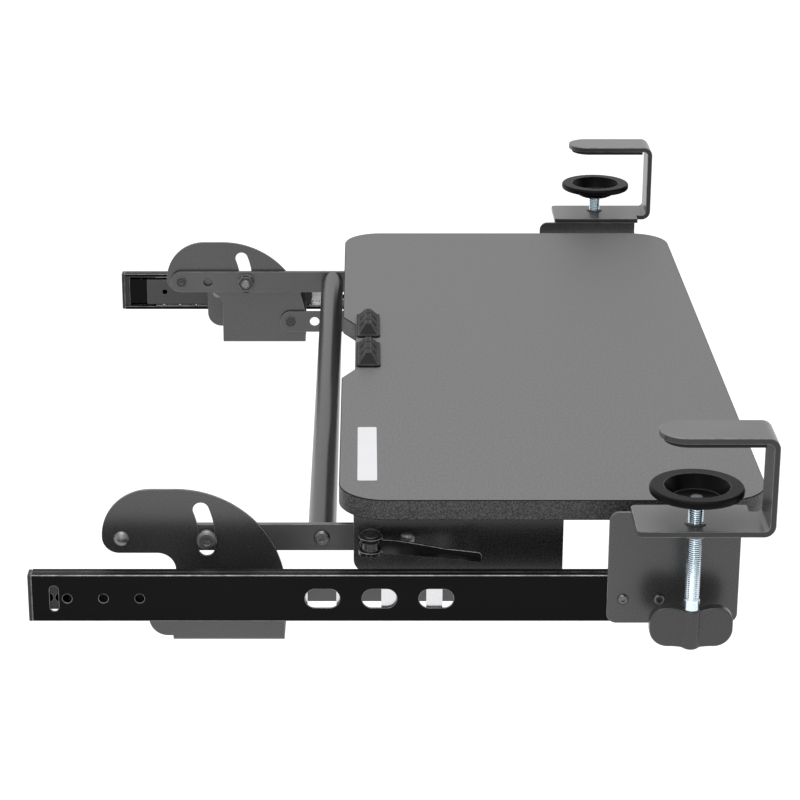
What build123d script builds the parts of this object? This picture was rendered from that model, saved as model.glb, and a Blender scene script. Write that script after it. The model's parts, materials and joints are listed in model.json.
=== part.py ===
from build123d import *
from math import asin, degrees
import os

# Keyboard tray that clamps to a desk's front edge, slides out on two ball slides
# and swings up or down, level, on two arms with two lower links.
# X runs across the tray, the user sits at -Y, and +Z is up. All sizes are in millimetres.
# The origin is midway between the sides, midway from front to back, at the lowest face.
# "Forward" is measured towards the user from the rear end of the slides, "height" from
# the lowest face and "outward" from the middle plane. Left-hand pieces are drawn, at -X,
# and each right-hand one is its mirror image.

# Overrun of a cut past the face that it goes through
overrun = 1.0

# Tray board
board_width = 670.0
board_depth = 300.0
board_thickness = 15.0
board_corner = 33.0
board_edge_break = 0.6
board_setback = 48.3
board_rise = 24.0
notch_mouth = 155.0
notch_floor = 113.0
notch_depth = 10.5
notch_round = 7.0

# Cable clips, stuck on the board beside its rear notch
clip_length = 60.0
clip_width = 19.6
clip_height = 9.5
clip_corner = 4.0
clip_base = 2.0
clip_crest_length = 40.0
clip_crest_width = 4.0
clip_slot_width = 1.8
clip_bore_radius = 2.2
clip_bore_height = 4.6
clip_slot_pitch = 17.0
clip_slot_count = 2
clip_edge_gap = 0.8
clip_first = 24.0
clip_pitch = 75.0

# Lift linkage: two arms and two links of one pivot distance
pivot_distance = 201.8
arm_pivot_forward = 60.5
arm_pivot_rise = 6.0
link_pivot_forward = 162.4
link_pivot_drop = 39.4
arm_height = 20.0
arm_wall = 4.0
link_wall = 3.0
side_gap = 0.4
end_gap = 0.3
running_gap = 0.05
open_pivot_gap = 0.15
lift_up_deg = 21.0
lift_down_deg = 7.0
pivot_radius = 3.9
dome_radius = 5.7
dome_height = 3.4
swage_radius = 4.9
swage_height = 0.8
socket_radius = 1.8
socket_depth = 1.6
spare_hole_radius = 4.5
arm_spare_hole_setback = 24.8
link_spare_hole_setback = 22.6

# Height bolt with its washer and nut, in the fin's arc slot
bolt_distance = 60.5
bolt_radius = 4.0
bolt_bush_radius = 5.0
bolt_slot_gap = 0.65
bolt_head_radius = 7.4
bolt_head_height = 4.4
bolt_head_round = 1.2
bolt_socket_radius = 2.7
bolt_socket_depth = 2.4
bolt_tail = 8.6
washer_radius = 8.0
washer_wall = 1.4
nut_radius = 7.5
nut_height = 5.6

# Cross tube
tube_setback = 60.3
tube_radius = 10.0
tube_wall = 1.6
tube_plug_length = 22.0
tube_screw_radius = 3.0
tube_screw_length = 18.0
tube_screw_head_radius = 5.7
tube_screw_head_height = 3.0

# Ball slides
rail_side_gap = 26.2
rail_front = 450.0
rail_height = 35.0
rail_width = 11.5
rail_wall = 1.2
rail_bend = 1.6
rail_lip = 3.0
rail_lift = 20.0
rail_hole_radius = 3.25
rail_hole_first = 27.0
rail_hole_pitch = 25.0
rail_hole_count = 3
rail_slot_length = 24.0
rail_slot_height = 14.0
rail_slot_first = 203.0
rail_slot_pitch = 39.3
rail_slot_count = 3
latch_slot_forward = 18.0
latch_slot_width = 6.0
latch_slot_height = 19.0
slide_gap = 0.4
inner_rear = 24.0
inner_front_reach = 5.0
inner_back_gap = 2.3
inner_lip = 1.6
inner_hole_radius = 2.5
inner_hole_setback = 17.0

# Ball cages and balls
ball_radius = 1.85
ball_gap = 0.3
balls_per_window = 2
cage_rear = 32.0
cage_wall = 0.6
cage_back_gap = 1.0
cage_lip_gap = 0.5
cage_end_strut = 5.5
cage_strut = 11.2
cage_window_length = 19.85
cage_window_height = 19.0
cage_window_count = 9

# Bumper in the rear end of each outer rail
bumper_wall = 2.6
bumper_plug_length = 5.0
bumper_gap = 0.25
tongue_length = 20.0
tongue_wall = 1.5
tongue_height = 17.0
tongue_notch_radius = 3.4
tongue_waist = 1.6

# Slide bracket: one bent plate with an outer wall, a floor and the fin
bracket_wall = 2.0
bracket_span = 40.3
bracket_bend = 3.4
bracket_front_reach = 115.8
floor_length = 77.8
wall_length = 94.3
wall_top_gap = 3.0
wall_corner = 4.0
lobe_bottom = 4.0
lobe_round = 13.0
fin_front_radius = 77.3
fin_front_centre_height = 21.0
fin_rear_flat = 1.0
fin_flat = 17.0
fin_nose_radius = 12.0
fin_throat_radius = 13.0
fin_nose_drop = 11.0
rivet_radius = 3.0
rivet_head_radius = 5.0
rivet_head_height = 1.4
rivet_tail_radius = 4.0
rivet_tail_height = 0.5
rivet_inset = 10.0
rivet_count = 3

# Tray side bracket with its screws
tray_bracket_setback = 38.0
tray_bracket_reach = 8.1
tray_bracket_drop = 50.0
tray_bracket_corner = 10.0
tray_lobe_length = 24.0
tray_lobe_drop = 10.0
tray_lobe_corner = 8.0
flange_width = 26.0
wood_screw_radius = 2.0
wood_screw_head_radius = 4.2
wood_screw_head_height = 1.8
wood_screw_depth = 11.0
wood_screw_inset = 14.0
wood_screw_count = 4

# Cam lever with its bolt, washer and pin
lever_bolt_setback = 25.9
lever_bolt_radius = 3.0
lever_slot_gap = 0.6
lever_head_radius = 5.5
lever_head_height = 4.0
lever_washer_radius = 8.5
lever_washer_wall = 1.5
cam_radius = 8.5
cam_wall = 3.0
cam_offset = 0.8
cam_gap = 0.3
cam_pin_radius = 3.0
cam_pin_head_radius = 4.6
cam_pin_head_height = 0.8
eye_radius = 6.0
eye_height = 6.4
blade_length = 77.0
blade_wall = 2.4
blade_height = 10.6
blade_tip_height = 7.4
blade_shoulder = 12.0
blade_taper_length = 34.0
blade_root_reach = 2.5
blade_tip_reach = 18.5
blade_bow = 1.2
blade_tip_round = 2.6
blade_root_gap = 0.7

# Desk clamp
clamp_height = 70.3
strap_wall = 4.3
strap_width = 36.0
strap_bend = 8.0
strap_overhang = 55.0
upper_jaw_length = 78.0
upper_jaw_tip_flat = 0.8
lower_jaw_length = 92.0
lower_jaw_step = 13.0
lower_jaw_overlap = 1.2
lower_jaw_corner = 4.0
jaw_outer_reach = 16.0
jaw_pad_wall = 3.0
jaw_pad_inset = 2.0
jaw_pad_tip_inset = 3.0
jaw_pad_heel_inset = 9.0
insert_flange_radius = 7.2
insert_flange_wall = 0.9
insert_neck_radius = 6.4
insert_body_radius = 7.5
insert_body_height = 5.0

# Hanger plate with its screws
plate_wall = 2.0
plate_overlap = 51.0
plate_length = 90.3
plate_height = 82.7
plate_corner = 7.0
plate_screw_first = 11.0
plate_screw_pitch = 25.0
plate_screw_count = 2
plate_screw_height = 18.0
plate_screw_radius = 2.0
plate_screw_head_radius = 3.9
plate_screw_head_height = 2.0
plate_screw_tail = 0.6
plate_screw_socket_radius = 1.6
plate_screw_socket_depth = 1.2

# Clamp screw with its pad and wing knob
screw_setback = 51.6
screw_radius = 5.2
screw_neck_radius = 3.0
screw_head_radius = 4.6
screw_head_height = 2.0
screw_collar_radius = 5.6
screw_collar_height = 7.7
screw_tail = 12.0
pad_radius = 31.8
pad_rise = 27.0
pad_height = 13.0
pad_rim = 5.5
pad_rim_round = 2.0
pad_recess_radius = 22.2
pad_recess_depth = 9.5
pad_recess_floor_radius = 17.0
pad_dome_radius = 21.0
pad_dome_bow = 1.5
pad_foot_radius = 11.5
knob_width = 56.6
knob_height = 30.0
knob_drop = 56.7
knob_wall = 8.4
knob_waist = 6.2
knob_dip = 1.7
knob_dip_reach = 9.0
knob_top_corner = 11.0
knob_bottom_corner = 13.0
knob_hub_radius = 7.0
knob_hub_drop = 1.2
knob_blend = 3.0
knob_edge_round = 1.4
knob_gap = 0.5

# Places worked out from the sizes above
rail_top = rail_lift + rail_height
rail_middle = rail_lift + rail_height / 2
arm_pivot_height = rail_top + arm_pivot_rise
link_pivot_height = arm_pivot_height - link_pivot_drop
arm_pivot_place = (arm_pivot_forward, arm_pivot_height)
link_pivot_place = (link_pivot_forward, link_pivot_height)
front_pivot_place = (arm_pivot_forward + pivot_distance, arm_pivot_height)
link_front_place = (link_pivot_forward + pivot_distance, link_pivot_height)
bolt_place = (arm_pivot_forward + bolt_distance, arm_pivot_height)
tube_place = (front_pivot_place[0] - tube_setback, arm_pivot_height)
lever_place = (front_pivot_place[0] - lever_bolt_setback, arm_pivot_height)
board_rear = front_pivot_place[0] - board_setback
board_front = board_rear + board_depth
middle = board_front / 2
board_bottom = arm_pivot_height + board_rise
board_top = board_bottom + board_thickness
half_span = board_width / 2 + rail_side_gap
rail_back = half_span - rail_wall
lip_face = half_span - rail_width
inner_face = lip_face - slide_gap
inner_back = rail_back - inner_back_gap
inner_top = rail_top - rail_wall - 2 * (ball_radius + ball_gap)
fin_inner = inner_face - bracket_span
fin_outer = fin_inner + bracket_wall
wall_inner = inner_face - bracket_wall
wall_front = arm_pivot_forward + bracket_front_reach
inner_front = wall_front + inner_front_reach
wall_rear = wall_front - wall_length
floor_rear = wall_front - floor_length
arm_outer = fin_inner - side_gap
arm_inner = arm_outer - arm_wall
link_inner = arm_outer - link_wall
plate_outer = half_span + plate_wall
screw_outward = plate_outer + knob_gap + knob_width / 2
strap_front = rail_front + strap_overhang
screw_forward = strap_front - screw_setback
plate_rear = rail_front - plate_overlap
clamp_base_height = rail_lift + plate_height
jaw_outer = screw_outward + jaw_outer_reach
jaw_inner = jaw_outer - strap_width
lower_jaw_top = clamp_base_height + strap_wall
jaw_top = clamp_base_height + clamp_height
jaw_pad_top = jaw_top - strap_wall
lever_washer_face = fin_outer + side_gap + lever_washer_wall
cam_outward = lever_washer_face + cam_gap + cam_radius + cam_offset


def side(outward):
    """Plane on the tray's side: local x runs forward, local y up, its normal outward."""
    return Plane(origin=(-outward, middle, 0), x_dir=(0, -1, 0), z_dir=(-1, 0, 0))


def plan(height):
    """Level plane: local x runs outward, local y forward, its normal up."""
    return Plane(origin=(0, middle, height), x_dir=(-1, 0, 0), z_dir=(0, 0, 1))


def section(forward):
    """Upright plane across the tray: local x outward, local y up, its normal rearward."""
    return Plane(origin=(0, middle - forward, 0), x_dir=(-1, 0, 0), z_dir=(0, 1, 0))


def span(low, high, mode=Mode.ADD):
    """Rectangle between two opposite corners."""
    with Locations(((low[0] + high[0]) / 2, (low[1] + high[1]) / 2)):
        Rectangle(high[0] - low[0], high[1] - low[1], mode=mode)


def disc(outward, place, radius, length, mode=Mode.ADD):
    """Round bar or hole across the tray, from its inner end outwards."""
    with BuildSketch(side(outward)) as spot:
        with Locations(place):
            Circle(radius)
    extrude(spot.sketch, amount=length, mode=mode)


def upright(height, place, radius, length, mode=Mode.ADD):
    """Upright round bar or hole, from its lower end up."""
    with BuildSketch(plan(height)) as spot:
        with Locations(place):
            Circle(radius)
    extrude(spot.sketch, amount=length, mode=mode)


def socket(outward, place, radius, depth):
    """Six-sided socket between an outward place and that place plus its depth."""
    with BuildSketch(side(outward)) as spot:
        with Locations(place):
            RegularPolygon(radius, 6)
    extrude(spot.sketch, amount=depth, mode=Mode.SUBTRACT)


def dome(outward, place, radius, height):
    """Domed head, revolved about its bar's axis."""
    centre = (-outward, middle - place[0], place[1])
    ball = (radius**2 + height**2) / (2 * height)
    with BuildSketch(Plane(origin=centre, x_dir=(-1, 0, 0), z_dir=(0, 1, 0))) as half:
        with BuildLine():
            CenterArc((height - ball, 0), ball, 0, degrees(asin(radius / ball)))
            Polyline((0, radius), (0, 0), (height, 0))
        make_face()
    revolve(half.sketch, axis=Axis(centre, (-1, 0, 0)))


def pivot(inner, place):
    """Pivot rivet: domed head outside the fin's plane, bar, and swaged end inside."""
    dome(fin_outer, place, dome_radius, dome_height)
    disc(inner, place, pivot_radius, fin_outer - inner)
    disc(inner - swage_height, place, swage_radius, swage_height)
    socket(inner - swage_height, place, socket_radius, socket_depth)


def save(part, name):
    part.label = name
    export_step(part, f"parts/{name}.step")


def save_pair(part, name):
    """Writes the left piece as drawn and its mirror image for the right."""
    save(part, f"left_{name}")
    save(mirror(part, about=Plane.YZ), f"right_{name}")


os.makedirs("parts", exist_ok=True)

# Outer rail: C channel open towards the middle, with lips that keep the balls in
plate_screw_places = [
    (plate_rear + plate_screw_first + i * plate_screw_pitch, rail_lift + plate_screw_height)
    for i in range(plate_screw_count)
]
rail_length = rail_front - bumper_wall
with BuildPart() as outer_rail:
    with BuildSketch(section(rail_front)):
        span((lip_face, rail_lift), (half_span, rail_top))
        fillet(vertices().group_by(Axis.X)[-1], rail_bend)
        span(
            (lip_face + rail_wall, rail_lift + rail_wall),
            (rail_back, rail_top - rail_wall),
            Mode.SUBTRACT,
        )
        span(
            (lip_face, rail_lift + rail_lip),
            (lip_face + rail_wall, rail_top - rail_lip),
            Mode.SUBTRACT,
        )
    extrude(amount=rail_length)
    with BuildSketch(side(rail_back)):
        for i in range(rail_hole_count):
            with Locations((rail_hole_first + i * rail_hole_pitch, rail_middle)):
                Circle(rail_hole_radius)
        for i in range(rail_slot_count):
            with Locations((rail_slot_first + i * rail_slot_pitch, rail_middle)):
                SlotOverall(rail_slot_length, rail_slot_height)
        with Locations((latch_slot_forward, rail_middle)):
            SlotOverall(latch_slot_height, latch_slot_width, rotation=90)
        with Locations(*plate_screw_places):
            Circle(plate_screw_radius)
    extrude(amount=rail_wall, mode=Mode.SUBTRACT)
save_pair(outer_rail.part, "outer_rail")

# Bumper: end flange, a plug in the channel and a waisted tongue behind the latch slot
plug_low = rail_lift + rail_wall + bumper_gap
plug_high = rail_top - rail_wall - bumper_gap
plug_inner = lip_face + rail_wall + bumper_gap
plug_outer = rail_back - bumper_gap
with BuildPart() as rail_bumper:
    with BuildSketch(section(bumper_wall)):
        span((lip_face, rail_lift), (half_span, rail_top))
        fillet(vertices(), rail_bend)
    extrude(amount=bumper_wall)
    with BuildSketch(section(bumper_wall + bumper_plug_length)):
        span((plug_inner, plug_low), (plug_outer, plug_high))
    extrude(amount=bumper_plug_length)
    with BuildSketch(side(plug_outer - tongue_wall)):
        span(
            (bumper_wall, rail_middle - tongue_height / 2),
            (bumper_wall + tongue_length, rail_middle + tongue_height / 2),
        )
        notch_reach = tongue_notch_radius + tongue_waist / 2
        with Locations((latch_slot_forward, rail_middle)):
            with Locations((-notch_reach, 0), (notch_reach, 0)):
                Circle(tongue_notch_radius, mode=Mode.SUBTRACT)
    extrude(amount=tongue_wall)
save_pair(rail_bumper.part, "rail_bumper")

# Inner rail: short narrower channel, open outwards, with turned lips outside the balls
rivet_pitch = (wall_length - 2 * rivet_inset) / (rivet_count - 1)
rivet_places = [
    (wall_rear + rivet_inset + i * rivet_pitch, rail_middle) for i in range(rivet_count)
]
with BuildPart() as inner_rail:
    with BuildSketch(section(inner_front)):
        span((inner_face, rail_middle), (inner_face + rail_wall, inner_top))
        span((inner_face, inner_top - rail_wall), (inner_back, inner_top))
        span((inner_back - rail_wall, inner_top), (inner_back, inner_top + inner_lip))
        mirror(about=Plane.XZ.offset(-rail_middle))
    extrude(amount=inner_front - inner_rear)
    with BuildSketch(side(inner_face)):
        with Locations((inner_rear + inner_hole_setback, rail_middle)):
            Circle(inner_hole_radius)
        with Locations(*rivet_places):
            Circle(rivet_radius)
    extrude(amount=rail_wall, mode=Mode.SUBTRACT)
save_pair(inner_rail.part, "inner_rail")

# Ball cage: light channel round the inner rail, with a hole for each ball
ball_high = (inner_top + rail_top - rail_wall) / 2
ball_low = 2 * rail_middle - ball_high
ball_outward = inner_back - rail_wall - ball_gap - ball_radius
cage_pitch = cage_window_length + cage_strut
cage_length = cage_window_count * cage_pitch - cage_strut + 2 * cage_end_strut
ball_pitch = cage_pitch / balls_per_window
ball_count = cage_window_count * balls_per_window
ball_first = cage_rear + (cage_length - (ball_count - 1) * ball_pitch) / 2
cage_back = rail_back - cage_back_gap
cage_edge = lip_face + rail_wall + cage_lip_gap
with BuildPart() as ball_cage:
    with BuildSketch(section(cage_rear + cage_length)):
        span(
            (cage_edge, ball_low - cage_wall / 2),
            (cage_back, ball_high + cage_wall / 2),
        )
        span(
            (cage_edge, ball_low + cage_wall / 2),
            (cage_back - cage_wall, ball_high - cage_wall / 2),
            Mode.SUBTRACT,
        )
    extrude(amount=cage_length)
    with BuildSketch(side(cage_back - cage_wall)):
        window_first = cage_rear + cage_end_strut + cage_window_length / 2
        for i in range(cage_window_count):
            with Locations((window_first + i * cage_pitch, rail_middle)):
                Rectangle(cage_window_length, cage_window_height)
    extrude(amount=cage_wall, mode=Mode.SUBTRACT)
    with BuildSketch(plan(ball_low - cage_wall / 2)):
        for i in range(ball_count):
            with Locations((ball_outward, ball_first + i * ball_pitch)):
                Circle(ball_radius + ball_gap)
    extrude(amount=ball_high - ball_low + cage_wall, mode=Mode.SUBTRACT)
save_pair(ball_cage.part, "ball_cage")

with BuildPart() as bearing_balls:
    for i in range(ball_count):
        ball_y = middle - ball_first - i * ball_pitch
        with Locations((-ball_outward, ball_y, ball_low), (-ball_outward, ball_y, ball_high)):
            Sphere(ball_radius)
save_pair(bearing_balls.part, "bearing_balls")

# Slide bracket, bent from one plate: outer wall on the inner rail, floor, and fin
fin_top = fin_front_centre_height + fin_front_radius
fin_peak_forward = wall_front - fin_front_radius
fin_nose_height = arm_pivot_height - fin_nose_drop
fin_rear_radius = fin_top - fin_nose_height - fin_nose_radius - fin_rear_flat
fin_rear_centre = (fin_peak_forward - fin_flat, fin_top - fin_rear_radius)
fin_rear = fin_rear_centre[0] - fin_rear_radius
wall_top = rail_top - wall_top_gap
with BuildPart() as slide_bracket:
    with BuildSketch(section(wall_front)):
        span((fin_inner, 0), (inner_face, lobe_round))
        fillet(vertices().group_by(Axis.Y)[0], bracket_bend)
    extrude(amount=floor_length)
    with BuildSketch(section(wall_front)):
        span((fin_outer, bracket_wall), (wall_inner, lobe_round))
        fillet(vertices().group_by(Axis.Y)[0], bracket_bend - bracket_wall)
    extrude(amount=floor_length, mode=Mode.SUBTRACT)
    with BuildSketch(side(fin_inner)):
        with BuildLine():
            Polyline(
                (floor_rear, fin_nose_height - fin_throat_radius),
                (floor_rear, bracket_bend),
                (wall_front, bracket_bend),
                (wall_front, fin_front_centre_height),
            )
            CenterArc(
                (fin_peak_forward, fin_front_centre_height), fin_front_radius, 0, 90
            )
            Line((fin_peak_forward, fin_top), (fin_rear_centre[0], fin_top))
            CenterArc(fin_rear_centre, fin_rear_radius, 90, 90)
            Line(
                (fin_rear, fin_rear_centre[1]), (fin_rear, fin_nose_height + fin_nose_radius)
            )
            CenterArc(
                (fin_rear + fin_nose_radius, fin_nose_height + fin_nose_radius),
                fin_nose_radius,
                180,
                90,
            )
            Line(
                (fin_rear + fin_nose_radius, fin_nose_height),
                (floor_rear - fin_throat_radius, fin_nose_height),
            )
            CenterArc(
                (floor_rear - fin_throat_radius, fin_nose_height - fin_throat_radius),
                fin_throat_radius,
                90,
                -90,
            )
        make_face()
        with BuildLine():
            slot_arc = CenterArc(
                arm_pivot_place,
                bolt_distance,
                -lift_down_deg,
                lift_down_deg + lift_up_deg,
                mode=Mode.PRIVATE,
            )
        SlotArc(slot_arc, 2 * (bolt_bush_radius + bolt_slot_gap), mode=Mode.SUBTRACT)
        with Locations(arm_pivot_place, link_pivot_place):
            Circle(pivot_radius, mode=Mode.SUBTRACT)
    extrude(amount=bracket_wall)
    with BuildSketch(side(wall_inner)):
        span((wall_rear, lobe_bottom), (floor_rear + lobe_round, wall_top))
        fillet(vertices().group_by(Axis.X)[0].sort_by(Axis.Y)[0], lobe_round)
        span((floor_rear, bracket_bend), (wall_front, wall_top))
        fillet(vertices().group_by(Axis.Y)[-1], wall_corner)
        with Locations(*rivet_places):
            Circle(rivet_radius, mode=Mode.SUBTRACT)
    extrude(amount=bracket_wall)
save_pair(slide_bracket.part, "slide_bracket")

with BuildPart() as slide_rivets:
    for place in rivet_places:
        disc(wall_inner, place, rivet_radius, bracket_wall + rail_wall)
        disc(wall_inner - rivet_head_height, place, rivet_head_radius, rivet_head_height)
        disc(inner_face + rail_wall, place, rivet_tail_radius, rivet_tail_height)
save_pair(slide_rivets.part, "slide_rivets")

with BuildPart() as arm_pivot:
    pivot(arm_inner - end_gap, arm_pivot_place)
save_pair(arm_pivot.part, "arm_pivot")

with BuildPart() as link_pivot:
    pivot(link_inner - end_gap, link_pivot_place)
save_pair(link_pivot.part, "link_pivot")


def bar(inner, wall, rear_place, spare_setback):
    """Flat bar with round ends, its two pivot holes and one spare hole."""
    with BuildSketch(side(inner)) as outline:
        with Locations((rear_place[0] + pivot_distance / 2, rear_place[1])):
            SlotCenterToCenter(pivot_distance, arm_height)
    extrude(outline.sketch, amount=wall)
    disc(
        inner,
        (rear_place[0] + spare_setback, rear_place[1]),
        spare_hole_radius,
        wall,
        Mode.SUBTRACT,
    )
    disc(inner, rear_place, pivot_radius + running_gap, wall, Mode.SUBTRACT)


# Lift arm, inside the fin
with BuildPart() as lift_arm:
    bar(arm_inner, arm_wall, arm_pivot_place, arm_spare_hole_setback)
    disc(arm_inner, front_pivot_place, pivot_radius + running_gap, arm_wall, Mode.SUBTRACT)
    disc(arm_inner, bolt_place, bolt_radius, arm_wall, Mode.SUBTRACT)
    disc(arm_inner, tube_place, tube_screw_radius, arm_wall, Mode.SUBTRACT)
    disc(arm_inner, lever_place, lever_bolt_radius, arm_wall, Mode.SUBTRACT)
save_pair(lift_arm.part, "lift_arm")

# Lower link: with the arm it keeps the tray level
with BuildPart() as lower_link:
    bar(link_inner, link_wall, link_pivot_place, link_spare_hole_setback)
    disc(link_inner, link_front_place, pivot_radius + open_pivot_gap, link_wall, Mode.SUBTRACT)
save_pair(lower_link.part, "lower_link")

# Height bolt: round head over the fin, a bush in its slot and a threaded end
bolt_head_face = fin_outer + end_gap
with BuildPart() as height_bolt:
    disc(bolt_head_face, bolt_place, bolt_head_radius, bolt_head_height)
    fillet(edges().group_by(Axis.X)[0], bolt_head_round)
    socket(
        bolt_head_face + bolt_head_height - bolt_socket_depth,
        bolt_place,
        bolt_socket_radius,
        bolt_socket_depth,
    )
    disc(arm_outer, bolt_place, bolt_bush_radius, bolt_head_face - arm_outer)
    disc(arm_inner - bolt_tail, bolt_place, bolt_radius, arm_wall + bolt_tail)
save_pair(height_bolt.part, "height_bolt")

with BuildPart() as height_nut:
    disc(arm_inner - washer_wall, bolt_place, washer_radius, washer_wall)
    disc(arm_inner - washer_wall, bolt_place, bolt_radius, washer_wall, Mode.SUBTRACT)
    with BuildSketch(side(arm_inner - washer_wall - nut_height)):
        with Locations(bolt_place):
            RegularPolygon(nut_radius, 6)
            Circle(bolt_radius, mode=Mode.SUBTRACT)
    extrude(amount=nut_height)
save_pair(height_nut.part, "height_nut")

# Cross tube between the arms, with a threaded plug in each end
plug_radius = tube_radius - tube_wall
with BuildPart() as cross_tube:
    disc(-arm_inner, tube_place, tube_radius, 2 * arm_inner)
    disc(-arm_inner, tube_place, plug_radius, 2 * arm_inner, Mode.SUBTRACT)
save(cross_tube.part, "cross_tube")

with BuildPart() as tube_plugs:
    disc(arm_inner - tube_plug_length, tube_place, plug_radius, tube_plug_length)
    disc(
        arm_inner - tube_screw_length,
        tube_place,
        tube_screw_radius,
        tube_screw_length,
        Mode.SUBTRACT,
    )
    mirror(about=Plane.YZ)
save(tube_plugs.part, "tube_plugs")

with BuildPart() as tube_screws:
    dome(arm_outer, tube_place, tube_screw_head_radius, tube_screw_head_height)
    socket(
        arm_outer + tube_screw_head_height - socket_depth,
        tube_place,
        socket_radius,
        socket_depth,
    )
    disc(
        arm_inner - tube_screw_length,
        tube_place,
        tube_screw_radius,
        tube_screw_length + arm_wall,
    )
    mirror(about=Plane.YZ)
save(tube_screws.part, "tube_screws")

# Tray side bracket: upright plate in the fin's plane, with a flange under the board
tray_bracket_rear = front_pivot_place[0] - tray_bracket_setback
tray_bracket_front = link_front_place[0] + tray_bracket_reach
tray_bracket_bottom = board_bottom - tray_bracket_drop
tray_lobe_rear = tray_bracket_front - tray_lobe_length
tray_lobe_bottom = link_pivot_height - tray_lobe_drop
wood_screw_outward = fin_outer - wood_screw_inset
tray_bracket_length = tray_bracket_front - tray_bracket_rear
wood_screw_pitch = (tray_bracket_length - 2 * wood_screw_inset) / (wood_screw_count - 1)
wood_screw_places = [
    (wood_screw_outward, tray_bracket_rear + wood_screw_inset + i * wood_screw_pitch)
    for i in range(wood_screw_count)
]
with BuildPart() as tray_bracket:
    with BuildSketch(side(fin_inner)):
        span((tray_bracket_rear, tray_bracket_bottom), (tray_bracket_front, board_bottom))
        fillet(
            vertices().group_by(Axis.X)[0].sort_by(Axis.Y)[0],
            tray_bracket_corner,
        )
        span((tray_lobe_rear, tray_lobe_bottom), (tray_bracket_front, board_bottom))
        fillet(vertices().group_by(Axis.Y)[0], tray_lobe_corner)
        with BuildLine():
            slot_arc = CenterArc(
                front_pivot_place,
                lever_bolt_setback,
                180 - lift_down_deg,
                lift_down_deg + lift_up_deg,
                mode=Mode.PRIVATE,
            )
        SlotArc(slot_arc, 2 * (lever_bolt_radius + lever_slot_gap), mode=Mode.SUBTRACT)
        with Locations(front_pivot_place, link_front_place):
            Circle(pivot_radius, mode=Mode.SUBTRACT)
    extrude(amount=bracket_wall)
    with BuildSketch(plan(board_bottom - bracket_wall)):
        span(
            (fin_outer - flange_width, tray_bracket_rear), (fin_outer, tray_bracket_front)
        )
        with Locations(*wood_screw_places):
            Circle(wood_screw_radius, mode=Mode.SUBTRACT)
    extrude(amount=bracket_wall)
save_pair(tray_bracket.part, "tray_bracket")

with BuildPart() as tray_pivots:
    pivot(arm_inner - end_gap, front_pivot_place)
    pivot(link_inner - end_gap, link_front_place)
save_pair(tray_pivots.part, "tray_pivots")

with BuildPart() as bracket_screws:
    for place in wood_screw_places:
        head_bottom = board_bottom - bracket_wall - wood_screw_head_height
        upright(head_bottom, place, wood_screw_head_radius, wood_screw_head_height)
        upright(
            board_bottom - bracket_wall,
            place,
            wood_screw_radius,
            bracket_wall + wood_screw_depth,
        )
save_pair(bracket_screws.part, "bracket_screws")

# Tray board, with its rear cable notch and the screw holes under it
notch_front = board_rear + notch_depth
with BuildPart() as tray_board:
    with BuildSketch(plan(board_bottom)):
        span((-board_width / 2, board_rear), (board_width / 2, board_front))
        fillet(vertices(), board_corner)
        with BuildSketch(mode=Mode.PRIVATE) as notch:
            with BuildLine():
                Polyline(
                    (-notch_mouth / 2, board_rear - overrun),
                    (-notch_mouth / 2, board_rear),
                    (-notch_floor / 2, notch_front),
                    (notch_floor / 2, notch_front),
                    (notch_mouth / 2, board_rear),
                    (notch_mouth / 2, board_rear - overrun),
                    close=True,
                )
            make_face()
            fillet(vertices().group_by(Axis.Y)[-1], notch_round)
        add(notch.sketch, mode=Mode.SUBTRACT)
    extrude(amount=board_thickness)
    chamfer(faces().filter_by(Axis.Z).edges(), board_edge_break)
    for place in wood_screw_places:
        for way in (-1, 1):
            upright(
                board_bottom,
                (way * place[0], place[1]),
                wood_screw_radius,
                wood_screw_depth,
                Mode.SUBTRACT,
            )
save(tray_board.part, "tray_board")

# Cable clips: a ridge with a slot across it over each bore that holds a cable
clip_forward = notch_front + clip_edge_gap + clip_width / 2
clip_places = [(clip_first, clip_forward), (clip_first - clip_pitch, clip_forward)]
with BuildPart() as cable_clips:
    with BuildSketch(plan(board_top)):
        with Locations(*clip_places):
            RectangleRounded(clip_length, clip_width, clip_corner)
    extrude(amount=clip_base)
    for place in clip_places:
        with BuildSketch(plan(board_top + clip_base)):
            with Locations(place):
                Rectangle(clip_length - clip_corner, clip_width - clip_corner)
        with BuildSketch(plan(board_top + clip_height)):
            with Locations(place):
                Rectangle(clip_crest_length, clip_crest_width)
        loft()
    clip_bore_centre = board_top + clip_bore_height
    with BuildSketch(section(clip_forward + clip_width / 2)):
        for place in clip_places:
            for i in range(clip_slot_count):
                slot_offset = (i - (clip_slot_count - 1) / 2) * clip_slot_pitch
                slot_middle = place[0] + slot_offset
                span(
                    (slot_middle - clip_slot_width / 2, clip_bore_centre),
                    (slot_middle + clip_slot_width / 2, board_top + clip_height + overrun),
                )
                with Locations((slot_middle, clip_bore_centre)):
                    Circle(clip_bore_radius)
    extrude(amount=clip_width, mode=Mode.SUBTRACT)
save(cable_clips.part, "cable_clips")

# Lever bolt: head inside the arm, bar through the arc slot, and an eye for the cam pin
eye_bottom = arm_pivot_height - eye_height / 2
lever_upright = (cam_outward, lever_place[0])
with BuildPart() as lever_bolt:
    disc(arm_inner - lever_head_height, lever_place, lever_head_radius, lever_head_height)
    disc(arm_inner, lever_place, lever_bolt_radius, cam_outward - arm_inner)
    upright(eye_bottom, lever_upright, eye_radius, eye_height)
    upright(
        eye_bottom - overrun,
        lever_upright,
        cam_pin_radius + running_gap,
        eye_height + 2 * overrun,
        Mode.SUBTRACT,
    )
save_pair(lever_bolt.part, "lever_bolt")

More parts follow.
